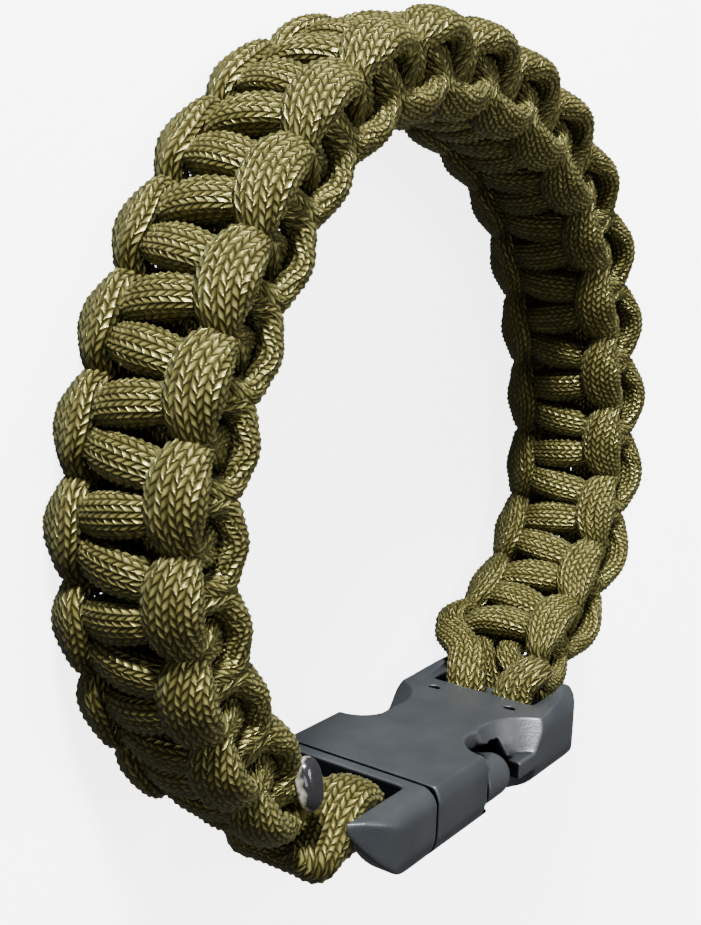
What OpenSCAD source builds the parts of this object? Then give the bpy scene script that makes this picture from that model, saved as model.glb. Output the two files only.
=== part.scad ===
// A cord bracelet knotted flat around two core cords, closed with a side release buckle.
// It lies on its side: the loop's axis is up, the buckle is at the front (-Y), and +X runs
// along the buckle from the plug to the socket. The zero point is the bottom centre of the box.

/* [Loop] */
// Mean diameter of the loop, along the middle of the knotted band
loop_d = 77.6; // [60:0.2:100]

/* [Cord] */
// Diameter of the cord
cord_d = 4; // [3:0.1:4.6]

/* [Buckle] */
// Length of the closed buckle
buckle_len = 46.4; // [42:0.2:60]
// Width of the buckle
buckle_w = 20.4; // [18:0.2:26]
// Thickness of the buckle
buckle_t = 8.8; // [8:0.1:10]

/* [Hidden] */
$fn = 48;
k = cord_d / 4;
gap = 0.15;

// The loop's shape, as shares of its mean radius that are added for each number of waves round it.
// The odd shares lean it a little to the plug's side.
// columns: waves, even, odd
w_n = 0; w_even = 1; w_odd = 2;
loop_shape = [
  [2, -0.050, 0.003],
  [3, -0.050, 0.018],
  [4, -0.019, 0.010],
  [5,  0.005, 0.013]];

function total(v, i = 0) = i >= len(v) ? 0 : v[i] + total(v, i + 1);
function loop_r(a) = loop_d / 2 *
  (1 + total([for (s = loop_shape) s[w_even] * cos(s[w_n] * a) + s[w_odd] * sin(s[w_n] * a)]));
// the angle a runs from the front middle, clockwise seen from above
function loop_pt(a) = [-loop_r(a) * sin(a), -loop_r(a) * cos(a)];
function unit(v) = v / norm(v);
function loop_dir(a) = unit(loop_pt(a + 1) - loop_pt(a - 1));
steps = [for (i = [0:360]) norm(loop_pt(i) - loop_pt(max(i - 1, 0)))];
run = [for (i = 0, s = 0; i <= 360; i = i + 1, s = s + (i <= 360 ? steps[i] : 0)) s];
angle_at = [for (i = [0:360]) [run[i], i]];
run_at = [for (i = [0:360]) [i, run[i]]];

// where things are along the buckle
inner_y = -loop_d * 0.424;
buckle_x = -loop_d * 0.03;
plug_x = buckle_x - buckle_len / 2;
socket_x = buckle_x + buckle_len / 2;
seam_x = plug_x + 0.285 * buckle_len;
strap = 1.6;
bar = 3;
plug_slot = 4.35 * k;
socket_slot = 3.25 * k;
plug_bar_x = seam_x - gap / 2 - strap - plug_slot - bar / 2;
socket_bar_x = socket_x - 0.7 - bar / 2;
slot_half = 0.34 * buckle_w;
bar_y = inner_y - 3 * k;
// how far the buckle's middle is above the loop's
buckle_up = 0.5;

// The knotted band: distance along the loop of its first bar, by the plug, and its last, by the socket
a_first = lookup(2.3 * k - plug_x, [for (i = [0:70]) [-loop_pt(i)[0], i]]);
a_last = 360 - lookup(socket_x + 3.8 * k, [for (i = [0:70]) [loop_pt(360 - i)[0], i]]);
s_first = lookup(a_first, run_at);
s_last = lookup(a_last, run_at);
half_knot = 1.125 * cord_d;
// an even number of steps, so that both ends finish as in the photo
knots = 2 * round((s_last - s_first) / half_knot / 2);
// the knots are pulled tighter where the weave ends
tighter = 0.15;
band_drop = 2.4 * k;

function s_of(v) = let (t = v / knots) s_first + (s_last - s_first) * (t + tighter * (t * t - t));
// a band point [across, along in half knots, up] brought round the loop
function bend(p) = let (a = lookup(s_of(p[1]), angle_at), d = loop_dir(a), q = loop_pt(a))
  [q[0] - d[1] * p[2], q[1] + d[0] * p[2], p[0] - band_drop];

// Half of one strand's half knot: from the middle of the bar that crosses the face, under the
// other strand's edge loop, round the edge, to its own loop on the other face.
// Lengths are shares of the cord's diameter, and along is in half knots.
// columns: across, along, up, lean in degrees, wide, thick
across = 0; along = 1; up = 2; lean = 3; wide = 4; thick = 5;
weave = [
  [0,     0,     0.92,   0, 1.10, 0.75],
  [0.80,  0,     0.80,  12, 1.08, 0.70],
  [1.44,  0.30, -0.04,  50, 0.41, 0.61],
  [1.98,  0.16, -0.33,  95, 0.76, 0.82],
  [1.68, -0.20, -0.90, 156, 1.43, 0.58]];
// the loose tail beside the plug, from its melted tip
// columns: the same, and the share that it faces along the band
turned = 6;
tail = [
  [2.00,  0.16, -0.42,  17, 1.15, 0.64, 1.4],
  [1.74,  0.14, -0.34,  37, 0.90, 0.64, 0.6]];
// how each strand leaves its last bar for the socket's slot
leave_a = [
  [1.98,  0.16, -0.33,  95, 0.76, 0.82],
  [1.70, -0.24, -0.90, 150, 1.10, 0.62],
  [1.52, -0.64, -0.68, 150, 1.10, 0.66]];
leave_b = [
  [1.98,  0.16, -0.33,  95, 0.76, 0.82],
  [1.86, -0.34, -0.70, 110, 0.82, 0.66],
  [1.70, -0.90,  0,     80, 0.70, 0.64]];
core_at = 0.46;
core_wide = 0.80;
core_thick = 0.77;

// Routes round the two bars of the buckle, from a bar's centre, as shares of the cord.
// across is out from the middle of the slot, and facing is the direction of the flat side.
// columns: x, y, across, facing in degrees, wide, thick
rx = 0; ry = 1; rz = 2; facing = 3;
socket_route = [
  [-0.18,  1.42, 1.20, 105, 1.10, 0.70],
  [-0.62,  0.98, 0.84, 130, 1.15, 0.70],
  [-0.78,  0.30, 0.70, 165, 1.10, 0.68],
  [-0.74, -0.34, 0.64, 200, 1.05, 0.66],
  [-0.30, -0.78, 0.58, 245, 1.00, 0.66],
  [ 0.34, -0.80, 0.54, 290, 0.95, 0.66],
  [ 0.72, -0.30, 0.54, 340, 0.88, 0.64],
  [ 0.76,  0.40, 0.56, 345, 0.72, 0.62]];
plug_route = [
  [-0.98,  0.26, 0.49, 225, 0.84, 0.70],
  [-0.64, -0.50, 0.50, 240, 0.84, 0.66],
  [ 0.02, -0.80, 0.55, 270, 0.92, 0.66],
  [ 0.62, -0.52, 0.68, 325, 1.00, 0.68],
  [ 0.78,  0.02, 0.88,   0, 1.00, 0.70],
  [ 0.56,  0.58, 1.08,  45, 0.95, 0.70],
  [-0.02,  0.80, 1.18,  90, 0.92, 0.70],
  [-0.50,  0.62, 1.32, 125, 0.74, 0.68],
  [-1.04, -0.02, 1.33, 172, 0.74, 0.72],
  [-1.40, -0.34, 1.16, 205, 0.74, 0.72],
  [-1.46, -0.40, 0.60, 225, 0.85, 0.70],
  [-1.46, -0.40, 0.02, 225, 0.90, 0.70]];

// a row of a band table set into the band: side is -1 or 1, back mirrors it along the band
function set_row(r, side, at, back) = [side * r[across] * cord_d, at - back * r[along],
  r[up] * cord_d, side * r[lean], r[wide] * cord_d, r[thick] * cord_d, len(r) > turned ? r[turned] : 0];
function strand_rows(leave) = concat(
  [for (r = tail) set_row(r, 1, 0, -1)],
  [for (j = [2:-1:1]) set_row(weave[j], 1, 0, -1)],
  [for (i = [0:knots - 1]) let (side = i % 2 == 0 ? -1 : 1) each concat(
    [for (j = [0:4]) set_row(weave[j], side, i, 1)],
    [for (j = [4:-1:1]) set_row(weave[j], side, i + 1, -1)])],
  [for (j = [0:2]) set_row(weave[j], -1, knots, 1)],
  [for (r = leave) set_row(r, -1, knots, 1)]);
core_rows = [for (i = [0:knots + 1]) [-core_at * cord_d, knots + 0.5 - i, 0, 0,
  core_wide * cord_d, core_thick * cord_d, 0]];

// points round a flattened section
sides = 8;
function section(c, t, n0, w, h) = let (n = unit(n0 - (n0 * t) * t), s = cross(t, n))
  [for (j = [0:sides - 1]) let (q = 360 * (j + 0.5) / sides,
    r = pow(pow(abs(cos(q)), 2.6) + pow(abs(sin(q)), 2.6), -1 / 2.6))
    c + s * cos(q) * r * w / 2 + n * sin(q) * r * h / 2];
function mm(r) = [r[0], r[1] * half_knot, r[2]];
// flip is 1, or -1 to turn the strand over for the other half of the cord
function to_loop(p, flip) = bend([flip * p[0], p[1] / half_knot, flip * p[2]]);
function face_of(r) = [sin(r[lean]), r[turned], cos(r[lean])];
function band_ring(rows, i, flip) = let (
    r = rows[i], a = mm(rows[max(i - 1, 0)]), b = mm(rows[min(i + 1, len(rows) - 1)]))
  [for (p = section(mm(r), unit(b - a), face_of(r), r[wide], r[thick])) to_loop(p, flip)];
function band_rings(rows, flip) = [for (i = [0:len(rows) - 1]) band_ring(rows, i, flip)];
// the core of the turned half keeps its face toward the same side of the band
function core_flip(rows, flip) = [for (r = rows)
  [for (j = [0:turned]) r[j] + (j == lean && flip < 0 ? 180 : 0)]];
function route_pt(r, bar_x, flip) = [bar_x + r[rx] * cord_d, bar_y + r[ry] * cord_d,
  buckle_up - flip * r[rz] * cord_d];
function route_rings(route, bar_x, flip, before, after) = let (
    p = concat([before], [for (r = route) route_pt(r, bar_x, flip)], after))
  [for (i = [0:len(route) - 1]) let (r = route[i], t = unit(p[min(i + 2, len(p) - 1)] - p[i]))
    section(p[i + 1], t, [cos(r[facing]), sin(r[facing]), 0], r[wide] * cord_d, r[thick] * cord_d)];
function cord_rings(leave, flip) = let (rows = strand_rows(leave), core = core_flip(core_rows, flip),
    last = to_loop(mm(rows[len(rows) - 1]), flip), first = to_loop(mm(core[0]), flip),
    end = to_loop(mm(core[len(core) - 1]), flip))
  concat(band_rings(rows, flip),
    route_rings(socket_route, socket_bar_x, flip, last, [first]),
    band_rings(core, flip),
    route_rings(plug_route, plug_bar_x, flip, end, []));

// a closed skin over a list of rings
module skin(rings) {
  n = len(rings);
  polyhedron(
    points = [for (r = rings) each r],
    faces = concat(
      [for (j = [1:sides - 2]) [0, j + 1, j]],
      [for (i = [0:n - 2]) for (j = [0:sides - 1]) let (e = (j + 1) % sides)
        each [[i * sides + j, i * sides + e, (i + 1) * sides + e],
              [i * sides + j, (i + 1) * sides + e, (i + 1) * sides + j]]],
      [for (j = [1:sides - 2]) let (e = (n - 1) * sides) [e, e + j, e + j + 1]]));
}

// the tip is a short cap on the tail: columns: distance past the cut, share of the section
cap = [[0.02, 0.98], [0.14, 1.02], [0.26, 0.70]];
module melted_end(flip) {
  r = set_row(tail[0], 1, 0, -1);
  d = unit(mm(r) - mm(set_row(tail[1], 1, 0, -1)));
  skin([for (c = [for (i = [2:-1:0]) cap[i]])
    [for (p = section(mm(r) + d * c[0] * cord_d, -d, face_of(r), r[wide] * c[1], r[thick] * c[1]))
      to_loop(p, flip)]]);
}

// The buckle is drawn with its wrist face at y = 0 and its outer face at y = -buckle_t.
half_w = buckle_w / 2;
plate = 1.7;
hollow = buckle_t - 2 * plate;
ease = 2;
ear_lift = 1.3;
outer_ease = 4;
// how far the two ends are rounded, seen from the side and from the wrist
socket_ease = 5;
socket_corner = 3;
plug_ease = 14;
plug_corner = 7.5;
ear_in = slot_half + 0.8;

// takes the corner at (a, b) of a box down to a quarter round that runs along z
module round_z(a, b, r, sa, sb) {
  difference() {
    translate([a - (sa > 0 ? r : 1), b - (sb > 0 ? r : 1), -half_w - 2]) cube([r + 1, r + 1, buckle_w + 4]);
    translate([a - sa * r, b - sb * r, -half_w - 3]) cylinder(r = r, h = buckle_w + 6);
  }
}
// the same along x, at (y, z) = (a, b), and along y, at (x, z) = (a, b)
module round_x(a, b, r, sa, sb) {
  difference() {
    translate([plug_x - 2, a - (sa > 0 ? r : 1), b - (sb > 0 ? r : 1)]) cube([buckle_len + 4, r + 1, r + 1]);
    translate([plug_x - 3, a - sa * r, b - sb * r]) rotate([0, 90, 0]) cylinder(r = r, h = buckle_len + 6);
  }
}
module round_y(a, b, r, sa, sb) {
  difference() {
    translate([a - (sa > 0 ? r : 1), -buckle_t - 2, b - (sb > 0 ? r : 1)]) cube([r + 1, buckle_t + 6, r + 1]);
    translate([a - sa * r, -buckle_t - 3, b - sb * r]) rotate([-90, 0, 0]) cylinder(r = r, h = buckle_t + 8);
  }
}
// the block between x0 and x1, with its ear tops and all its edges eased at the end x_end
module block(x0, x1, x_end, s_end, lift, end_ease, corner) {
  difference() {
    union() {
      translate([x0, -buckle_t, -half_w]) cube([x1 - x0, buckle_t, buckle_w]);
      // the ears rise a little toward the wrist
      if (lift > 0) for (s = [-1, 1]) translate([0, 0, s > 0 ? ear_in : -half_w])
        linear_extrude(half_w - ear_in) polygon([
          [x_end - 8.5, -1], [x_end - 8.5, 0], [x_end - 4, 0.4 * lift], [x_end - 1.2, lift],
          [x_end - 0.3, 0.7 * lift], [x_end, 0], [x_end, -1]]);
    }
    round_z(x_end, -buckle_t, end_ease, s_end, -1);
    for (s = [-1, 1]) {
      round_x(lift > 0 ? lift : 0, s * half_w, ease + lift, 1, s);
      round_x(-buckle_t, s * half_w, outer_ease, -1, s);
      round_y(x_end, s * half_w, corner, s_end, s);
    }
  }
}
// the gap that the cord passes through, open past the bar, with the bar put back
module eye(x_wall, bar_at, x_out) {
  x0 = min(x_wall, x_out); x1 = max(x_wall, x_out);
  difference() {
    children();
    translate([x0, -buckle_t - 1, -slot_half]) cube([x1 - x0, buckle_t + 4, 2 * slot_half]);
  }
  translate([bar_at, bar_y - inner_y, -slot_half - 0.4]) cylinder(d = bar, h = 2 * slot_half + 0.8);
}

hatch_x = seam_x + 0.22 * buckle_len;
hatch = 7.2;
// finger notches, and the part of the hollow that is open at the sides
notch_at = 6.8;
notch_x = hatch_x + notch_at;
notch_in = 2;
notch_wide = 6.8;
notch_slim = 4.6;
notch_deep = 3.4;
thumb_at = 3.7;
side_open = 5;
side_wall = 1.8;
dimple_back = 9.9;
dimple = 0.85;
// the arms of the plug
arm_out = 2.1;
arm_wide = 2.9;
tongue = 2.8;
module buckle_socket() color([0.10, 0.11, 0.12]) translate([0, inner_y, buckle_up])
  eye(socket_bar_x - bar / 2 - socket_slot, socket_bar_x, socket_x + 1)
  difference() {
    block(seam_x + gap / 2, socket_x, socket_x, 1, ear_lift, socket_ease, socket_corner);
    // the hollow for the plug's arms, and the windows that their buttons fill
    translate([seam_x - 1, -plate - hollow, -half_w + side_wall])
      cube([hatch_x + hatch + 2 - seam_x, hollow, buckle_w - 2 * side_wall]);
    for (s = [-1, 1]) {
      translate([hatch_x, -plate - hollow, s > 0 ? half_w - side_open : -half_w - 1])
        cube([hatch, hollow, side_open + 1]);
      // the finger notches, sloped through both faces
      translate([notch_x, 0.01, s * (half_w + notch_in)]) rotate([90, 0, 0])
        cylinder(r1 = notch_wide, r2 = notch_slim, h = notch_deep);
      translate([hatch_x + thumb_at, 0.01, s * (half_w - 0.8)]) rotate([90, 0, 0])
        cylinder(r1 = 4, r2 = 3.4, h = plate + 0.02);
      translate([notch_x, notch_deep - buckle_t - 0.01, s * (half_w + notch_in)]) rotate([90, 0, 0])
        cylinder(r1 = notch_slim, r2 = notch_wide, h = notch_deep);
      // moulding dimples: half moons
      translate([socket_x - dimple_back, 0, s * 0.255 * buckle_w]) rotate([90, 0, 0]) difference() {
        translate([0, 0, -1]) cylinder(r = dimple, h = 1.6);
        translate([-2 * dimple, -2 * dimple, -2]) cube([2 * dimple, 4 * dimple, 4]);
      }
    }
  }
module buckle_plug() color([0.10, 0.11, 0.12]) translate([0, inner_y, buckle_up]) {
  eye(seam_x - gap / 2 - strap, plug_bar_x, plug_x - 1) block(plug_x, seam_x - gap / 2, plug_x, -1, 0, plug_ease, plug_corner);
  fit = 0.2;
  mid = -buckle_t / 2;
  reach = hatch_x + hatch - 2 * fit;
  button = (hollow - 2 * fit) / 2;
  for (s = [-1, 1]) {
    translate([seam_x - 1, mid - button, s > 0 ? half_w - arm_out - arm_wide : arm_out - half_w])
      cube([reach - button - seam_x + 1, 2 * button, arm_wide]);
    translate([hatch_x + 2 * fit, mid, s * (half_w - button)]) rotate([0, 90, 0])
      cylinder(r = button, h = reach - button - hatch_x - 2 * fit);
    translate([reach - button, mid, s * (half_w - button)]) sphere(r = button);
  }
  translate([seam_x - 1, mid - button, -tongue / 2]) cube([11, 2 * button, tongue]);
}

// everything is moved so that the zero point is the bottom centre of the box
rings_a = cord_rings(leave_a, 1);
rings_b = cord_rings(leave_b, -1);
function span(j) = let (v = [for (r = rings_a) for (p = r) p[j]], u = [for (r = rings_b) for (p = r) p[j]])
  [min(min(v), min(u)), max(max(v), max(u))];
span_x = span(0);
span_y = span(1);
low_y = min(span_y[0], inner_y - buckle_t);
low_z = min(span(2)[0], buckle_up - half_w);
module place() translate([-(span_x[0] + span_x[1]) / 2, -(low_y + span_y[1]) / 2, -low_z]) children();

module cord_a() color([0.33, 0.33, 0.17]) skin(rings_a);
module cord_b() color([0.35, 0.35, 0.18]) skin(rings_b);
module melted_end_a() color([0.12, 0.12, 0.12]) melted_end(1);
module melted_end_b() color([0.12, 0.12, 0.12]) melted_end(-1);

place() buckle_socket();
place() buckle_plug();
place() cord_a();
place() cord_b();
place() melted_end_a();
place() melted_end_b();
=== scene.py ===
import math

import bpy
import numpy as np
from mathutils import Matrix, Vector
from mathutils.bvhtree import BVHTree


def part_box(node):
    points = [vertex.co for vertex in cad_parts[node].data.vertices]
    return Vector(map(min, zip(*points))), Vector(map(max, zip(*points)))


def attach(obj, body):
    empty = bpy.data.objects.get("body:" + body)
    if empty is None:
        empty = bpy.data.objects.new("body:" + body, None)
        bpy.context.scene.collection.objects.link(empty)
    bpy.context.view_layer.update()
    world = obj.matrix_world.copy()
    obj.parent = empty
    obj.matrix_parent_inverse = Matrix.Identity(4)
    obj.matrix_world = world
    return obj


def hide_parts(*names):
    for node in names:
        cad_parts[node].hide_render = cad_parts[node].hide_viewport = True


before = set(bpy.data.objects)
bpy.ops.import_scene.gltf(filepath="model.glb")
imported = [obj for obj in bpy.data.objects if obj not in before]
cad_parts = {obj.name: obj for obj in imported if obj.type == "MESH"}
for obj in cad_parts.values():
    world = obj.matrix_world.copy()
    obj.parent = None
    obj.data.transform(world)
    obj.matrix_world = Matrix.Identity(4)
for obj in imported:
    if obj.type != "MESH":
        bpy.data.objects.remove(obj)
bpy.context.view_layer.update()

# A bracelet knotted from 4 mm cord, closed with a side release buckle, lying on its side.
# Sizes are in metres, and repeat those of part.scad. The strands run through the same rows as
# the solids, with rounder sections and more rings, and carry the braid of the sheath.
CORD = 0.004
USUAL_CORD = 0.004
FIT = CORD / USUAL_CORD
LOOP = 0.0776
BUCKLE_LEN = 0.0464
BUCKLE_T = 0.0088

# The loop: waves round it, and their even and odd shares of its mean radius
LOOP_SHAPE = ((2, -0.050, 0.003), (3, -0.050, 0.018), (4, -0.019, 0.010), (5, 0.005, 0.013))

# Places along the buckle
GAP = 0.00015
INNER_Y = -LOOP * 0.424
BUCKLE_X = -LOOP * 0.03
PLUG_X = BUCKLE_X - BUCKLE_LEN / 2
SOCKET_X = BUCKLE_X + BUCKLE_LEN / 2
SEAM_X = PLUG_X + 0.285 * BUCKLE_LEN
STRAP = 0.0016
BAR = 0.003
SOCKET_WALL = 0.0007
PLUG_SLOT = 0.00435 * FIT
PLUG_BAR_X = SEAM_X - GAP / 2 - STRAP - PLUG_SLOT - BAR / 2
SOCKET_BAR_X = SOCKET_X - SOCKET_WALL - BAR / 2
BAR_IN = 0.003 * FIT
BAR_Y = INNER_Y - BAR_IN
BUCKLE_UP = 0.0005

# The knotted band: how far its first and last bars are from the buckle's ends, and its knots
FROM_PLUG = 0.0023 * FIT
FROM_SOCKET = 0.0038 * FIT
HALF_KNOT = 1.125 * CORD
TIGHTER = 0.15
BAND_DROP = 0.0024 * FIT

# Half of one strand's half knot, from the middle of the bar that crosses the face to the middle
# of its loop on the other face. Lengths are shares of the cord, and along is in half knots.
# columns: across, along, up, lean in degrees, wide, thick, and the share that faces along the band
WEAVE = (
    (0.00, 0.00, 0.87, 0, 1.06, 0.84, 0),
    (0.84, 0.13, 0.68, 14, 0.88, 0.80, 0),
    (1.40, 0.36, 0.06, 50, 0.60, 0.70, 0),
    (1.50, 0.34, -0.52, 120, 0.84, 0.76, 0.9),
    (1.56, -0.08, -0.85, 152, 1.26, 0.70, 0))
# what is added to the last row's across, up and wide: cord_a's loops are pressed closer
PRESSED = {"a": (-0.10, 0.02, -0.06), "b": (0, 0, 0)}
# the loose tail beside the plug, from its melted tip
TAIL = (
    (2.00, 0.16, -0.42, 17, 1.15, 0.64, 1.4),
    (1.74, 0.14, -0.34, 37, 0.90, 0.64, 0.6))
# how each strand leaves its last bar for the socket's slot
LEAVE_A = (
    WEAVE[3],
    (1.70, -0.24, -0.90, 150, 1.10, 0.62, 0),
    (1.52, -0.64, -0.68, 150, 1.10, 0.66, 0))
LEAVE_B = (
    WEAVE[3],
    (1.86, -0.34, -0.70, 110, 0.82, 0.66, 0),
    (1.70, -0.90, 0.00, 80, 0.70, 0.64, 0))
# the straight core strands, as shares of the cord
CORE_AT, CORE_WIDE, CORE_THICK = 0.46, 0.80, 0.77
# Where the weave is cut into pieces, always under another strand's loop: the rows before the
# first half knot, the rows of a half knot, and the rows from its start to the cut
ROWS_BEFORE, ROWS_A_KNOT, ROWS_TO_CUT = 4, 9, 2

# Routes round the buckle's bars, from a bar's centre, as shares of the cord
# columns: x, y, across, facing in degrees, wide, thick
SOCKET_ROUTE = (
    (-0.18, 1.42, 1.20, 105, 1.20, 0.80),
    (-0.62, 0.98, 0.90, 130, 1.30, 0.80),
    (-0.78, 0.30, 0.78, 165, 1.34, 0.76),
    (-0.74, -0.34, 0.72, 200, 1.30, 0.74),
    (-0.30, -0.78, 0.68, 245, 1.26, 0.72),
    (0.34, -0.80, 0.66, 290, 1.24, 0.72),
    (0.76, -0.30, 0.66, 340, 1.22, 0.74),
    (0.80, 0.40, 0.66, 345, 1.10, 0.74))
PLUG_ROUTE = (
    (-0.98, 0.26, 0.49, 225, 0.84, 0.70),
    (-0.64, -0.50, 0.50, 240, 0.84, 0.66),
    (0.02, -0.80, 0.55, 270, 0.92, 0.66),
    (0.62, -0.52, 0.68, 325, 1.00, 0.68),
    (0.80, 0.02, 0.86, 360, 1.20, 0.76),
    (0.58, 0.60, 0.98, 405, 1.42, 0.82),
    (-0.02, 0.86, 1.02, 450, 1.50, 0.86),
    (-0.56, 0.66, 1.10, 485, 1.46, 0.86),
    (-1.08, 0.06, 1.14, 532, 1.36, 0.86),
    (-1.44, -0.30, 1.04, 565, 1.20, 0.80),
    (-1.46, -0.40, 0.60, 585, 0.92, 0.72),
    (-1.46, -0.40, 0.02, 585, 0.92, 0.72))

# A strand's section is between an ellipse (2) and a box, as its outline is in the solids
SQUARE = 2.5
SECTION_POINTS = 96
# curve steps between two rows, and how strongly the distance between rows counts
CURVE_STEPS = 14
CHORD_POWER = 0.8

# The braid: stitches run in columns along the cord, slanting one way and then the other.
# Each stitch is FINE points wide and long, and starts STAGGER of its length past its neighbour.
COLUMNS = 22
STITCH = 0.00078
ZIGZAG = 0.00040
STAGGER = 0.5
FINE = 2
RELIEF = 0.00022
# heights as shares of the relief: where a stitch starts, at its sides, and on plain cord
START_HEIGHT, SIDE_HEIGHT, PLAIN_HEIGHT = 0.22, 0.30, 0.7
MEAN_HEIGHT = 0.75
# each stitch has one of these many drawn heights, which two primes deal out without a pattern
HEIGHTS, LEAST_HEIGHT, HEIGHT_RANGE = 4096, 0.80, 0.35
DEAL_ALONG, DEAL_ROUND = 37, 211
BRAID_SEED = 100
# the sheath turns a little as it goes: places where it may turn, and how far, in turns
TWISTS, TWIST_STEP = 60, 0.018
# how quickly a stitch darkens with painted shade and falls away from its middle, and its filaments
PAINTED_SHADE_POWER, DOME_POWER = 0.4, 0.7
FILAMENTS, FILAMENT_HEIGHT = 6, 0.03

# The melted drop on a cut end. columns: how far out, and its size beside the cord's section
DROP = (
    (-0.20, 0.96), (-0.18, 1.06), (-0.08, 1.10), (0.02, 1.10), (0.10, 1.04), (0.17, 0.92),
    (0.22, 0.74), (0.25, 0.50), (0.26, 0.24))
DROP_SIDES = 40
# waves round the drop: how many of each, their size, the range that their starts are drawn from,
# the share of them that stays over the dome, and the share that fades with it
DROP_WAVES, WAVE_SIZE, WAVE_START = (2, 3, 5), 0.03, 6.3
WAVE_STAYS, WAVE_FADES = 0.4, 0.6

# The buckle's skins: size of their first cells, and for each its rounds of wear and most triangles
VOXEL = 0.00018
SKINS = (("buckle_socket", 6, 44000), ("buckle_plug", 20, 26000))
# how much a bend counts, in metres, and the rounds that even it out
BEND_SCALE, BEND_ROUNDS = 0.0004, 4
# how open each point of the buckle is: rays, their start off the skin, their reach, and rounds
SKY_RAYS, SKY_LIFT, SKY_REACH, SKY_ROUNDS = 24, 0.00012, 0.009, 2

# Colours that ramps pass through, each with its place
STITCH_COLOURS = (
    (0.0, (0.054, 0.049, 0.0135)), (0.5, (0.084, 0.077, 0.0230)), (1.0, (0.128, 0.119, 0.0410)))
# painted shade in the gaps between stitches: what a stitch's colour is multiplied by, from its edges to its
# middle
STITCH_PAINTED_SHADE = (
    (0.0, (0.03, 0.025, 0.018)), (0.55, (0.14, 0.12, 0.09)), (0.86, (0.70, 0.69, 0.64)),
    (1.0, (1.0, 1.0, 1.0)))
MELT_COLOURS = (
    (0.36, (0.030, 0.027, 0.014)), (0.46, (0.30, 0.28, 0.24)), (0.60, (0.16, 0.15, 0.13)),
    (0.72, (0.010, 0.010, 0.011)))
PLASTIC_COLOURS = ((0.3, (0.0135, 0.0155, 0.0175)), (0.7, (0.0175, 0.0198, 0.0220)))
PLASTIC_ROUGHNESS = ((0.3, (0.385,) * 3), (0.7, (0.415,) * 3))
# painted shade and painted highlight after how the skin bends: much darker in corners and dents, and paler
# on edges, which is partly wear
PLASTIC_WEAR_AND_PAINTED_LIGHT = (
    (0.30, (0.30, 0.30, 0.30)), (0.45, (1.0, 1.0, 1.0)), (0.58, (1.0, 1.0, 1.0)),
    (0.75, (1.2, 1.22, 1.25)))
# painted shade in hollows: how much of the colour and of the reflections stays, by how open a point is
PLASTIC_PAINTED_HOLLOW_SHADE = ((0.40, (0.02,) * 3), (0.70, (0.12,) * 3), (0.90, (1.0,) * 3))
# noise, each its scale and detail: the plastic's moulded grain and its clouds, and the melt's smear
GRAIN, CLOUD, SMEAR = (3800, 3), (260, 4), (900, 3)
# how far the smear moves the melt's colours
SMEAR_SHARE = 0.5
# bumps, each its strength and distance
CORD_BUMP, MELT_BUMP, PLASTIC_BUMP = (0.9, 0.00024), (0.5, 0.0002), (0.5, 0.00006)
# specular level where a point is open; painted shade lowers it in hollows
OPEN_SPECULAR = 0.5
WHITE = (1, 1, 1, 1)

# The camera, from the loop's middle, and its picture in pixels
CAMERA_AT = (-0.11188, 0.02252, 0.06921)
CAMERA_FORWARD = (0.79917, -0.19606, -0.56824)
CAMERA_UP = (0.14075, 0.98007, -0.14020)
PICTURE_HIGH = 925
FOCAL_PIXELS = 1233.7
UP_PIXELS = 7
SENSOR_MM = 36

# The studio: half the floor's side, the wall round it, and their whiteness
FLOOR_HALF = 3
WALL_SIDES = 48
WALL_R = 0.95 * FLOOR_HALF
WALL_HIGH = 3
STUDIO_COLOUR = (0.93, 0.93, 0.925, 1)
STUDIO_GLOW = 4.2
WORLD_GLOW = 0.14
# columns: name, place, size across, power, and whether surfaces mirror it
LIGHTS = (
    ("key", (-0.175, 0.39, 0.115), 0.08, 13.6, True),
    ("above", (0.05, 0.25, 0.75), 0.35, 4.5, True),
    ("front", (-0.65, -0.05, 0.40), 0.30, 1.4, True),
    ("fill", (0.42, -0.30, 0.22), 0.30, 4, False),
    ("back_fill", (0.30, 0.45, 0.25), 0.30, 2.1, False))
LIGHTS_TARGET = (0, 0, 0.01)


def unit(v):
    return v / np.linalg.norm(v, axis=-1, keepdims=True)


def distances(points):
    """How far along a curve each of its points is."""
    steps = np.linalg.norm(np.diff(points, axis=0), axis=1)
    return np.concatenate([[0], np.cumsum(steps)])


def loop_pt(a):
    """Points of the loop at the angles a in degrees, from the front middle."""
    waves = (e * np.cos(np.radians(n * a)) + o * np.sin(np.radians(n * a)) for n, e, o in LOOP_SHAPE)
    r = (1 + sum(waves)) * LOOP / 2
    return np.stack([-r * np.sin(np.radians(a)), -r * np.cos(np.radians(a))], -1)


# The loop by whole degrees, those of them near the buckle, and the places of the band's two ends
ANGLES = np.arange(361.0)
RUN = distances(loop_pt(ANGLES))
NEAR = np.arange(71.0)
A_FIRST = np.interp(FROM_PLUG - PLUG_X, -loop_pt(NEAR)[:, 0], NEAR)
A_LAST = 360 - np.interp(SOCKET_X + FROM_SOCKET, loop_pt(360 - NEAR)[:, 0], NEAR)
S_FIRST = np.interp(A_FIRST, ANGLES, RUN)
S_LAST = np.interp(A_LAST, ANGLES, RUN)
KNOTS = 2 * round((S_LAST - S_FIRST) / HALF_KNOT / 2)


def frame_at(along):
    """The loop's point, its direction, and the way out of it, at a place along the band."""
    t = along / KNOTS
    s = S_FIRST + (S_LAST - S_FIRST) * (t + TIGHTER * (t * t - t))
    a = np.interp(s, RUN, ANGLES)
    d = unit(loop_pt(a + 1) - loop_pt(a - 1))
    return loop_pt(a), d, np.stack([-d[..., 1], d[..., 0]], -1)


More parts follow.
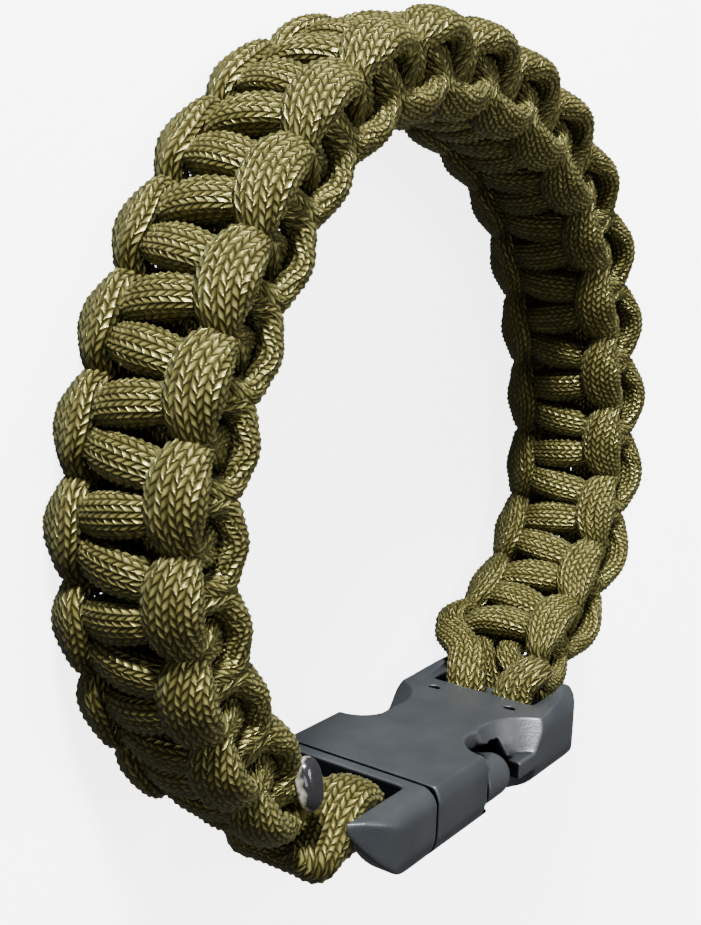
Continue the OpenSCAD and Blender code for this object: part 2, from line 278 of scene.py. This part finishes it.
def bend(across, along, up):
    """A place on the flat band, brought round the loop. along is in half knots."""
    q, _, out = frame_at(along)
    return np.concatenate([q + out * up[..., None], (across - BAND_DROP)[..., None]], -1)


def turn(v, along):
    """A direction on the flat band, [across, along, up], brought round the loop."""
    _, d, out = frame_at(along)
    flat = d * v[..., 1:2] + out * v[..., 2:3]
    return np.concatenate([flat, v[..., 0:1]], -1)


def set_row(row, side, at, back):
    """A row of a table set on the band, on one side, run backwards (1) or forwards (-1) from at."""
    across, along, up, lean, wide, thick, ahead = row
    return (side * across * CORD, at - back * along, up * CORD, side * lean,
            wide * CORD, thick * CORD, -back * ahead)


def strand_rows(leave, letter):
    """The rows of one strand along the band, from its melted tip to its last bar."""
    weave = [list(r) for r in WEAVE]
    for column, change in zip((0, 2, 4), PRESSED[letter]):
        weave[4][column] += change
    rows = [set_row(r, 1, 0, -1) for r in TAIL] + [set_row(weave[j], 1, 0, -1) for j in (2, 1)]
    for i in range(KNOTS):
        side = -1 if i % 2 == 0 else 1
        rows += [set_row(weave[j], side, i, 1) for j in range(5)]
        rows += [set_row(weave[j], side, i + 1, -1) for j in (4, 3, 2, 1)]
    rows += [set_row(weave[j], -1, KNOTS, 1) for j in range(3)]
    return np.array(rows + [set_row(r, -1, KNOTS, 1) for r in leave])


def band_frames(rows, flip):
    """Centre, facing direction, width and thickness of each row on the band."""
    rad = np.radians(rows[:, 3])
    face = np.stack([flip * np.sin(rad), rows[:, 6], flip * np.cos(rad)], -1)
    centre = bend(flip * rows[:, 0], rows[:, 1], flip * rows[:, 2])
    return np.concatenate([centre, turn(face, rows[:, 1]), rows[:, 4:6]], -1)


def route_frames(route, bar_x, flip):
    """The same for the rows of a route round a buckle's bar."""
    r = np.array(route)
    rad = np.radians(r[:, 3])
    x, y, z = bar_x + r[:, 0] * CORD, BAR_Y + r[:, 1] * CORD, BUCKLE_UP - flip * r[:, 2] * CORD
    centre = np.stack([x, y, z], -1)
    face = np.stack([np.cos(rad), np.sin(rad), 0 * rad], -1)
    return np.concatenate([centre, face, r[:, 4:6] * CORD], -1)


def core_frames(flip):
    """The same for the core strand, from the socket back to the plug."""
    at = np.array([KNOTS + 0.5 - i for i in range(KNOTS + 2)])
    one = np.ones_like(at)
    core = np.stack([-CORE_AT * CORD * one, at, 0 * one, 0 * one,
                     CORE_WIDE * CORD * one, CORE_THICK * CORD * one, 0 * one], -1)
    rows = band_frames(core, flip)
    rows[:, 3:6] *= flip
    return rows


def cord_frames(leave, letter, flip):
    """One half of the cord: its rows, and where those of the socket's bar and of the core end."""
    parts = [band_frames(strand_rows(leave, letter), flip), route_frames(SOCKET_ROUTE, SOCKET_BAR_X, flip),
             core_frames(flip), route_frames(PLUG_ROUTE, PLUG_BAR_X, flip)]
    ends = np.cumsum([len(p) for p in parts])
    return np.concatenate(parts), int(ends[1]), int(ends[2])


def smooth(rows):
    """A curve through the rows, and the place in the table of each of its points."""
    chord = np.maximum(np.linalg.norm(np.diff(rows[:, :3], axis=0), axis=1), 1e-5) ** CHORD_POWER
    t = np.concatenate([[0], np.cumsum(chord)])
    slope = np.gradient(rows, t, axis=0)
    steps = [np.linspace(a, b, CURVE_STEPS, endpoint=False) for a, b in zip(t[:-1], t[1:])]
    u = np.concatenate(steps + [t[-1:]])
    i = np.clip(np.searchsorted(t, u, side="right") - 1, 0, len(t) - 2)
    h = (t[i + 1] - t[i])[:, None]
    x = ((u - t[i])[:, None]) / h
    a, b = rows[i], rows[i + 1]
    m, n = slope[i] * h, slope[i + 1] * h
    curve = (2 * x**3 - 3 * x**2 + 1) * a + (x**3 - 2 * x**2 + x) * m
    return curve + (3 * x**2 - 2 * x**3) * b + (x**3 - x**2) * n, i + x[:, 0]


def even(rows, where, step):
    """The same curve at even steps: its rows, the place in the table of each, and its distance."""
    run = distances(rows[:, :3])
    s = np.linspace(0, run[-1], int(run[-1] / step))
    return np.stack([np.interp(s, run, rows[:, j]) for j in range(8)], -1), np.interp(s, run, where), s


def section(q):
    """The unit section's x and y at the angles q."""
    r = (np.abs(np.cos(q)) ** SQUARE + np.abs(np.sin(q)) ** SQUARE) ** (-1 / SQUARE)
    return np.cos(q) * r, np.sin(q) * r


def outline(rows, sides, twist):
    """Points at even steps round each row's flattened section, and the outward direction at each."""
    wide, thick = rows[:, 6:7], rows[:, 7:8]
    x, y = section(np.linspace(0, 2 * np.pi, SECTION_POINTS + 1))
    x, y = x * wide / 2, y * thick / 2
    step = np.hypot(np.diff(x, axis=1), np.diff(y, axis=1))
    run = np.concatenate([np.zeros((len(rows), 1)), np.cumsum(step, 1)], 1)
    run /= run[:, -1:]
    want = (np.arange(sides) / sides + twist[:, None]) % 1.0
    px = np.stack([np.interp(w, r, v) for w, r, v in zip(want, run, x)])
    py = np.stack([np.interp(w, r, v) for w, r, v in zip(want, run, y)])
    nx = np.sign(px) * np.abs(px / wide) ** (SQUARE - 1) / wide
    ny = np.sign(py) * np.abs(py / thick) ** (SQUARE - 1) / thick
    size = np.hypot(nx, ny)
    return px, py, nx / size, ny / size


def braid_height(side, ring, fine, rng):
    """Height of the braid at each ring and side, from 0 in the gaps to about 1 on a stitch."""
    column = side // fine
    a = (side % fine) / fine
    slant = np.where(column % 2 == 0, -1.0, 1.0)
    v = ring[:, None] / fine
    q = v + (slant * a)[None, :] - np.where(column % 2 == 0, 0, STAGGER)[None, :]
    number = np.floor(q + 1e-6)
    starts = np.where(np.abs(q - number) < 1e-3, START_HEIGHT, 1.0)
    over = starts * np.where(a < 1e-3, SIDE_HEIGHT, 1.0)[None, :]
    vary = rng.random(HEIGHTS)
    key = (number.astype(int) * DEAL_ALONG + column[None, :] * DEAL_ROUND) % HEIGHTS
    return over * (LEAST_HEIGHT + HEIGHT_RANGE * vary[key])


def tube(rings, sides, lean):
    """Triangles of a closed tube, whose last two points are the middles of its ends.

    lean says for each side which way its faces are cut in two."""
    i, j = np.meshgrid(np.arange(rings - 1), np.arange(sides), indexing="ij")
    k = (j + 1) % sides
    a, b, c, d = i * sides + j, i * sides + k, (i + 1) * sides + k, (i + 1) * sides + j
    lean = lean[j][..., None]
    one = np.where(lean, np.stack([a, b, c], -1), np.stack([a, b, d], -1))
    two = np.where(lean, np.stack([a, c, d], -1), np.stack([b, c, d], -1))
    side = np.arange(sides)
    after = (side + 1) % sides
    low, top = rings * sides, (rings - 1) * sides
    low_fan = np.stack([np.full(sides, low), after, side], -1)
    top_fan = np.stack([np.full(sides, low + 1), top + side, top + after], -1)
    return np.concatenate([one.reshape(-1, 3), two.reshape(-1, 3), low_fan, top_fan])


def set_braid(mesh, tri, side, ring, fine):
    """The braid's coordinates as a UV map: the column and the stitch at each corner."""
    u = np.tile(side / fine, len(ring)).astype(float)
    v = np.repeat(ring / fine, len(side))
    u, v = np.concatenate([u, [0, 0]]), np.concatenate([v, [v[0], v[-1]]])
    uv = np.stack([u[tri], v[tri]], -1)
    wrap = uv[..., 0].max(1) - uv[..., 0].min(1) > COLUMNS / 2
    fix = wrap[:, None] & (uv[..., 0] < COLUMNS / 2)
    uv[..., 0] = np.where(fix, uv[..., 0] + COLUMNS, uv[..., 0])
    layer = mesh.uv_layers.new(name="braid")
    layer.data.foreach_set("uv", uv.reshape(-1).astype(np.float32))


def skin(name, rows, from_ring, fine, rng, twist):
    """A closed skin over the rows, with the braid as relief and in a UV map."""
    n, m = len(rows), COLUMNS * fine
    tangent = unit(np.gradient(rows[:, :3], axis=0))
    face = rows[:, 3:6]
    face = unit(face - np.sum(face * tangent, 1, keepdims=True) * tangent)
    across = np.cross(tangent, face)
    px, py, nx, ny = outline(rows, m, twist)
    side = np.arange(m)
    ring = np.arange(n) + from_ring
    height = braid_height(side, ring, fine, rng) if fine > 1 else np.full((n, m), PLAIN_HEIGHT)
    lift = RELIEF * (height - MEAN_HEIGHT)
    px, py = px + nx * lift, py + ny * lift
    # the stitches' ends move along the cord, so that they slant less than their grid
    a = (side % fine) / fine
    is_even = (side // fine) % 2 == 0
    shear = ZIGZAG * np.where(is_even, 1 - a, a)
    points = rows[:, None, :3] + across[:, None, :] * px[..., None] + face[:, None, :] * py[..., None]
    points = points + tangent[:, None, :] * shear[None, :, None]
    points = np.concatenate([points.reshape(-1, 3), rows[[0, -1], :3]])
    tri = tube(n, m, is_even)
    mesh = mesh_from(name, points, tri)
    set_braid(mesh, tri, side, ring, fine)
    return mesh


def mesh_from(name, points, tri):
    mesh = bpy.data.meshes.new(name)
    mesh.vertices.add(len(points))
    mesh.vertices.foreach_set("co", points.astype(np.float32).reshape(-1))
    mesh.loops.add(3 * len(tri))
    mesh.loops.foreach_set("vertex_index", tri.astype(np.int32).reshape(-1))
    mesh.polygons.add(len(tri))
    mesh.polygons.foreach_set("loop_start", np.arange(0, 3 * len(tri), 3, dtype=np.int32))
    mesh.polygons.foreach_set("use_smooth", np.ones(len(tri), dtype=bool))
    mesh.update(calc_edges=True)
    mesh.validate()
    return mesh


def set_values(mesh, name, values):
    """A value at each point of a mesh, for its material."""
    attribute = mesh.attributes.new(name, "FLOAT", "POINT")
    attribute.data.foreach_set("value", np.asarray(values, np.float32))


def link_object(name, data):
    thing = bpy.data.objects.new(name, data)
    bpy.context.scene.collection.objects.link(thing)
    return thing


def stand_for(piece, node_name):
    """Hangs a piece under the root part, and hides the solid that it replaces."""
    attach(piece, "root")
    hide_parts(node_name)


def add(name, mesh, material, node_name):
    mesh.materials.append(material)
    stand_for(link_object(name, mesh), node_name)


def new_material(name):
    material = bpy.data.materials.new(name)
    material.use_nodes = True
    tree = material.node_tree
    tree.nodes.clear()
    shader = tree.nodes.new("ShaderNodeBsdfPrincipled")
    output = tree.nodes.new("ShaderNodeOutputMaterial")
    tree.links.new(shader.outputs[0], output.inputs[0])
    return material, tree, shader


def math_node(tree, kind, a, b=None):
    node = tree.nodes.new("ShaderNodeMath")
    node.operation = kind
    for socket, value in zip(node.inputs, (a, b)):
        if value is None:
            continue
        if isinstance(value, (int, float)):
            socket.default_value = value
        else:
            tree.links.new(value, socket)
    return node.outputs[0]


def ramp(tree, value, stops):
    """The colour that a value has between the stops, each a place and a colour."""
    node = tree.nodes.new("ShaderNodeValToRGB")
    tree.links.new(value, node.inputs[0])
    while len(node.color_ramp.elements) < len(stops):
        node.color_ramp.elements.new(0.5)
    for element, (at, colour) in zip(node.color_ramp.elements, stops):
        element.position = at
        element.color = (*colour, 1)
    return node.outputs[0]


def multiply(tree, a, b):
    """Two colours multiplied."""
    node = tree.nodes.new("ShaderNodeMix")
    node.data_type = "RGBA"
    node.blend_type = "MULTIPLY"
    factor, first, second = node.inputs[0], node.inputs[6], node.inputs[7]
    factor.default_value = 1.0
    tree.links.new(a, first)
    tree.links.new(b, second)
    return node.outputs[2]


def noise(tree, scale, detail):
    """Noise in the object's own coordinates."""
    place = tree.nodes.new("ShaderNodeTexCoord")
    node = tree.nodes.new("ShaderNodeTexNoise")
    node.inputs["Scale"].default_value = scale
    node.inputs["Detail"].default_value = detail
    tree.links.new(place.outputs["Object"], node.inputs["Vector"])
    return node.outputs[0]


def point_value(tree, name):
    node = tree.nodes.new("ShaderNodeAttribute")
    node.attribute_name = name
    return node.outputs["Fac"]


def set_bumps(tree, shader, height, strength, distance):
    node = tree.nodes.new("ShaderNodeBump")
    node.inputs["Strength"].default_value = strength
    node.inputs["Distance"].default_value = distance
    tree.links.new(height, node.inputs["Height"])
    tree.links.new(node.outputs[0], shader.inputs["Normal"])


def stitch_places(tree):
    """From the braid's UV map: the column, the stitch's number, and the place along and across it."""
    uv = tree.nodes.new("ShaderNodeUVMap")
    uv.uv_map = "braid"
    split = tree.nodes.new("ShaderNodeSeparateXYZ")
    tree.links.new(uv.outputs[0], split.inputs[0])
    u, v = split.outputs[0], split.outputs[1]
    column = math_node(tree, "FLOOR", u)
    across = math_node(tree, "FRACT", u)
    odd = math_node(tree, "MODULO", column, 2.0)
    slant = math_node(tree, "SUBTRACT", math_node(tree, "MULTIPLY", odd, 2.0), 1.0)
    q = math_node(tree, "ADD", v, math_node(tree, "MULTIPLY", slant, across))
    q = math_node(tree, "SUBTRACT", q, math_node(tree, "MULTIPLY", odd, STAGGER))
    return column, math_node(tree, "FLOOR", q), math_node(tree, "FRACT", q), across


def cord_material():
    """Olive nylon: plump braided stitches, each a little lighter or darker, with painted shade in the gaps
    between them, and fine filaments.
    """
    material, tree, shader = new_material("cord")
    column, number, along, across = stitch_places(tree)
    key = tree.nodes.new("ShaderNodeCombineXYZ")
    tree.links.new(math_node(tree, "MODULO", column, float(COLUMNS)), key.inputs[0])
    tree.links.new(number, key.inputs[1])
    white = tree.nodes.new("ShaderNodeTexWhiteNoise")
    white.noise_dimensions = "2D"
    tree.links.new(key.outputs[0], white.inputs["Vector"])
    base = ramp(tree, white.outputs["Value"], STITCH_COLOURS)
    # painted shade: a stitch is darkened towards its edges, where it goes under its neighbours
    round_along = math_node(tree, "SINE", math_node(tree, "MULTIPLY", along, math.pi))
    round_across = math_node(tree, "SINE", math_node(tree, "MULTIPLY", across, math.pi))
    both = math_node(tree, "MULTIPLY", round_along, round_across)
    painted_shade = ramp(tree, math_node(tree, "POWER", both, PAINTED_SHADE_POWER), STITCH_PAINTED_SHADE)
    tree.links.new(multiply(tree, base, painted_shade), shader.inputs["Base Color"])
    thread = math_node(tree, "SINE", math_node(tree, "MULTIPLY", along, 2 * math.pi * FILAMENTS))
    dome = math_node(tree, "POWER", both, DOME_POWER)
    height = math_node(tree, "ADD", dome, math_node(tree, "MULTIPLY", thread, FILAMENT_HEIGHT))
    set_bumps(tree, shader, height, *CORD_BUMP)
    shader.inputs["Roughness"].default_value = 0.29
    shader.inputs["Specular IOR Level"].default_value = 0.75
    shader.inputs["Specular Tint"].default_value = (0.95, 0.88, 0.32, 1)
    shader.inputs["Sheen Weight"].default_value = 0.03
    shader.inputs["Sheen Roughness"].default_value = 0.45
    shader.inputs["Sheen Tint"].default_value = (0.80, 0.85, 0.45, 1)
    return material


def melt_material():
    """Black gloss where the nylon ran, with a pale smeared rim."""
    material, tree, shader = new_material("melt")
    smear = noise(tree, *SMEAR)
    moved = math_node(tree, "MULTIPLY", smear, SMEAR_SHARE)
    where = math_node(tree, "ADD", point_value(tree, "out"), moved)
    tree.links.new(ramp(tree, where, MELT_COLOURS), shader.inputs["Base Color"])
    shader.inputs["Roughness"].default_value = 0.16
    set_bumps(tree, shader, smear, *MELT_BUMP)
    return material


def plastic_material():
    """Black moulded plastic with a fine grain; paler on its edges, partly wear and partly painted
    highlight, and darkened by painted shade in its corners and hollows, down to black in its slots.
    """
    material, tree, shader = new_material("buckle")
    cloud = noise(tree, *CLOUD)
    # painted shade in corners and painted highlight on edges, partly wear, from how the skin bends
    wear_and_painted_light = ramp(tree, point_value(tree, "bends"), PLASTIC_WEAR_AND_PAINTED_LIGHT)
    # painted shade in hollows and slots: darker and less glossy where less is open
    painted_hollow_shade = ramp(tree, point_value(tree, "open"), PLASTIC_PAINTED_HOLLOW_SHADE)
    colour = multiply(tree, ramp(tree, cloud, PLASTIC_COLOURS), wear_and_painted_light)
    tree.links.new(multiply(tree, colour, painted_hollow_shade), shader.inputs["Base Color"])
    tree.links.new(math_node(tree, "MULTIPLY", painted_hollow_shade, OPEN_SPECULAR), shader.inputs["Specular IOR Level"])
    tree.links.new(ramp(tree, cloud, PLASTIC_ROUGHNESS), shader.inputs["Roughness"])
    set_bumps(tree, shader, noise(tree, *GRAIN), *PLASTIC_BUMP)
    return material


def make_cord(letter, leave, flip, shift, material, melted, seed):
    """One half of the cord: the weave in three pieces, its core, and the turn on the plug's bar."""
    rng = np.random.default_rng(seed)
    control, weave_end, core_end = cord_frames(leave, letter, flip)
    control[:, :3] += shift
    rows, where, s = even(*smooth(control), STITCH / FINE)
    make_melted_end(letter, rows[0], unit(rows[0, :3] - rows[2, :3]), melted, seed)
    places = np.linspace(0, s[-1], TWISTS)
    wander = np.cumsum(rng.normal(0, TWIST_STEP, TWISTS))
    twist = np.interp(s, places, wander - wander.mean())
    thirds = [ROWS_BEFORE + ROWS_A_KNOT * round(KNOTS * part / 3) + ROWS_TO_CUT for part in (1, 2)]
    starts = [0] + thirds + [weave_end + 1, core_end - 2]
    cuts = [int(np.searchsorted(where, start)) // FINE * FINE for start in starts] + [len(rows) - 1]
    for name, a, b in zip(("1", "2", "3", "core", "bight"), cuts[:-1], cuts[1:]):
        fine = 1 if name == "core" else FINE
        part = slice(a, b + 1, FINE // fine)
        heights = np.random.default_rng(seed + BRAID_SEED)
        mesh = skin(f"cord_{letter}_{name}", rows[part], a * fine // FINE, fine, heights, twist[part])
        add(f"cord_{letter}_{name}", mesh, material, f"cord_{letter}")


def make_melted_end(letter, row, away, material, seed):
    """The drop that seals a cut end: a thin sleeve on the cord and a low dome past it."""
    rng = np.random.default_rng(seed)
    face = unit(row[3:6] - np.dot(row[3:6], away) * away)
    across = np.cross(away, face)
    q = np.arange(DROP_SIDES) * 2 * np.pi / DROP_SIDES
    x, y = section(q)
    spoke = across * (x * row[6] / 2)[:, None] + face * (y * row[7] / 2)[:, None]
    waves = sum(rng.normal(0, WAVE_SIZE) * np.cos(n * q + rng.uniform(0, WAVE_START)) for n in DROP_WAVES)
    points = []
    for depth, size in DROP:
        s = size * (1 + waves * (WAVE_STAYS + WAVE_FADES * size))
        points.append(row[:3] + away * depth * CORD + spoke * s[:, None])
    middles = [row[:3] + away * depth * CORD for depth in (DROP[0][0], DROP[-1][0])]
    tri = tube(len(DROP), DROP_SIDES, np.ones(DROP_SIDES, bool))
    mesh = mesh_from(f"melted_{letter}", np.concatenate(points + [middles]), tri)
    out = np.repeat(np.linspace(0, 1, len(DROP)), DROP_SIDES)
    set_values(mesh, "out", np.concatenate([out, [0, 1]]))
    add(f"melted_{letter}", mesh, material, f"melted_end_{letter}")


def edge_ends(mesh):
    """The two points of each edge, and the number of edges at each point."""
    edges = np.empty(2 * len(mesh.edges), np.int32)
    mesh.edges.foreach_get("vertices", edges)
    a, b = edges.reshape(-1, 2).T
    count = len(mesh.vertices)
    return a, b, np.bincount(a, minlength=count) + np.bincount(b, minlength=count)


def blend(values, ends, rounds):
    """The values of points, evened out with their neighbours' in so many rounds."""
    a, b, count = ends
    for _ in range(rounds):
        around = np.bincount(a, values[b], len(values)) + np.bincount(b, values[a], len(values))
        values = 0.5 * values + 0.5 * around / count
    return values


def mark_bends(mesh):
    """A value at each point: 0.5 on flat faces, more on edges and less in corners."""
    co = np.empty(3 * len(mesh.vertices), np.float32)
    normal = np.empty_like(co)
    mesh.vertices.foreach_get("co", co)
    mesh.vertices.foreach_get("normal", normal)
    co, normal = co.reshape(-1, 3), normal.reshape(-1, 3)
    ends = edge_ends(mesh)
    a, b, count = ends
    step = co[b] - co[a]
    size = np.maximum(np.sum(step * step, 1), 1e-12)
    curve = np.bincount(a, -np.sum(step * normal[a], 1) / size, len(co))
    curve = (curve + np.bincount(b, np.sum(step * normal[b], 1) / size, len(co))) / count
    set_values(mesh, "bends", np.clip(0.5 + blend(curve, ends, BEND_ROUNDS) * BEND_SCALE, 0, 1))


def sky_rays():
    """Directions over the half sphere round Z, more of them near Z."""
    turn_by = math.pi * (3 - math.sqrt(5))
    rays = []
    for i in range(SKY_RAYS):
        r = math.sqrt((i + 0.5) / SKY_RAYS)
        rays.append(Vector((r * math.cos(i * turn_by), r * math.sin(i * turn_by), math.sqrt(1 - r * r))))
    return rays


def mark_open(pieces):
    """A value at each point: the share of directions round its normal with nothing near."""
    points, polys = [], []
    for piece in pieces:
        first = len(points)
        points += [v.co.copy() for v in piece.data.vertices]
        polys += [[first + i for i in p.vertices] for p in piece.data.polygons]
    tree = BVHTree.FromPolygons(points, polys)
    rays = sky_rays()
    for piece in pieces:
        mesh = piece.data
        seen = np.empty(len(mesh.vertices))
        for v in mesh.vertices:
            to_normal = v.normal.to_track_quat("Z", "X")
            start = v.co + v.normal * SKY_LIFT
            hits = sum(tree.ray_cast(start, to_normal @ ray, SKY_REACH)[0] is not None for ray in rays)
            seen[v.index] = 1 - hits / SKY_RAYS
        set_values(mesh, "open", blend(seen, edge_ends(mesh), SKY_ROUNDS))


def worn_copy(node_name, rounds, most, material):
    """A moulded solid again as one fine even skin with its edges worn round."""
    piece = link_object(node_name + "_skin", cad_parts[node_name].data.copy())
    even_skin = piece.modifiers.new("even", "REMESH")
    even_skin.mode = "VOXEL"
    even_skin.voxel_size = VOXEL
    wear_and_painted_light = piece.modifiers.new("wear_and_painted_light", "SMOOTH")
    wear_and_painted_light.factor = 0.5
    wear_and_painted_light.iterations = rounds
    bpy.context.view_layer.update()
    graph = bpy.context.evaluated_depsgraph_get()
    faces = sum(len(p.vertices) - 2 for p in piece.evaluated_get(graph).data.polygons)
    fewer = piece.modifiers.new("fewer", "DECIMATE")
    fewer.ratio = min(1, most / faces)
    graph = bpy.context.evaluated_depsgraph_get()
    done = bpy.data.meshes.new_from_object(piece.evaluated_get(graph))
    piece.modifiers.clear()
    piece.data = done
    done.name = node_name + "_skin"
    done.materials.clear()
    done.materials.append(material)
    done.shade_smooth()
    mark_bends(done)
    stand_for(piece, node_name)
    return piece


def place_shift():
    """Where the loop's middle lies in the frame, from the socket's box."""
    low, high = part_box("buckle_socket")
    return np.array([high[0] - SOCKET_X, low[1] - (INNER_Y - BUCKLE_T), (low[2] + high[2]) / 2 - BUCKLE_UP])


def make_camera(shift):
    forward = Vector(CAMERA_FORWARD)
    right = forward.cross(Vector(CAMERA_UP)).normalized()
    up = right.cross(forward).normalized()
    data = bpy.data.cameras.new("camera")
    data.sensor_fit = "VERTICAL"
    data.sensor_height = SENSOR_MM
    data.lens = SENSOR_MM * FOCAL_PIXELS / PICTURE_HIGH
    data.shift_y = UP_PIXELS / PICTURE_HIGH
    data.clip_start = 0.005
    camera = link_object("camera", data)
    axes = Matrix((right, up, -forward)).transposed().to_4x4()
    camera.matrix_world = Matrix.Translation(Vector(CAMERA_AT) + Vector(shift)) @ axes
    bpy.context.scene.camera = camera


def stage_piece(name, points, tri, material):
    """Part of the studio: the camera sees it, and it throws no light back on the bracelet."""
    mesh = mesh_from(name, points, tri)
    mesh.materials.append(material)
    piece = link_object(name, mesh)
    piece.visible_diffuse = False
    piece.visible_glossy = False
    return piece


def make_studio():
    """A pale floor, and a pale wall far round it."""
    material, _, shader = new_material("studio")
    shader.inputs["Base Color"].default_value = STUDIO_COLOUR
    shader.inputs["Roughness"].default_value = 0.9
    shader.inputs["Emission Color"].default_value = WHITE
    shader.inputs["Emission Strength"].default_value = STUDIO_GLOW
    corners = [(x * FLOOR_HALF, y * FLOOR_HALF, 0) for x, y in ((-1, -1), (1, -1), (1, 1), (-1, 1))]
    stage_piece("floor", np.array(corners, float), np.array([(0, 1, 2), (0, 2, 3)]), material)
    q = np.arange(WALL_SIDES) * 2 * np.pi / WALL_SIDES
    ring = np.stack([WALL_R * np.cos(q), WALL_R * np.sin(q), 0 * q], -1)
    i = np.arange(WALL_SIDES)
    k = (i + 1) % WALL_SIDES
    top_i, top_k = WALL_SIDES + i, WALL_SIDES + k
    tri = np.concatenate([np.stack([i, top_k, k], -1), np.stack([i, top_i, top_k], -1)])
    wall = stage_piece("backdrop", np.concatenate([ring, ring + (0, 0, WALL_HIGH)]), tri, material)
    wall.visible_shadow = False


def area_light(name, at, size, power, mirrored):
    data = bpy.data.lights.new(name, "AREA")
    data.shape = "DISK"
    data.size = size
    data.energy = power
    light = link_object(name, data)
    light.visible_glossy = mirrored
    away = Vector(at) - Vector(LIGHTS_TARGET)
    light.matrix_world = Matrix.Translation(at) @ away.to_track_quat("Z", "Y").to_matrix().to_4x4()


def make_lights():
    world = bpy.data.worlds.new("studio")
    bpy.context.scene.world = world
    world.use_nodes = True
    back = world.node_tree.nodes["Background"]
    back.inputs["Color"].default_value = WHITE
    back.inputs["Strength"].default_value = WORLD_GLOW
    for light in LIGHTS:
        area_light(*light)


shift = place_shift()
cord = cord_material()
melted = melt_material()
make_cord("a", LEAVE_A, 1, shift, cord, melted, seed=11)
make_cord("b", LEAVE_B, -1, shift, cord, melted, seed=23)
plastic = plastic_material()
mark_open([worn_copy(name, rounds, most, plastic) for name, rounds, most in SKINS])
make_camera(shift)
make_studio()
make_lights()
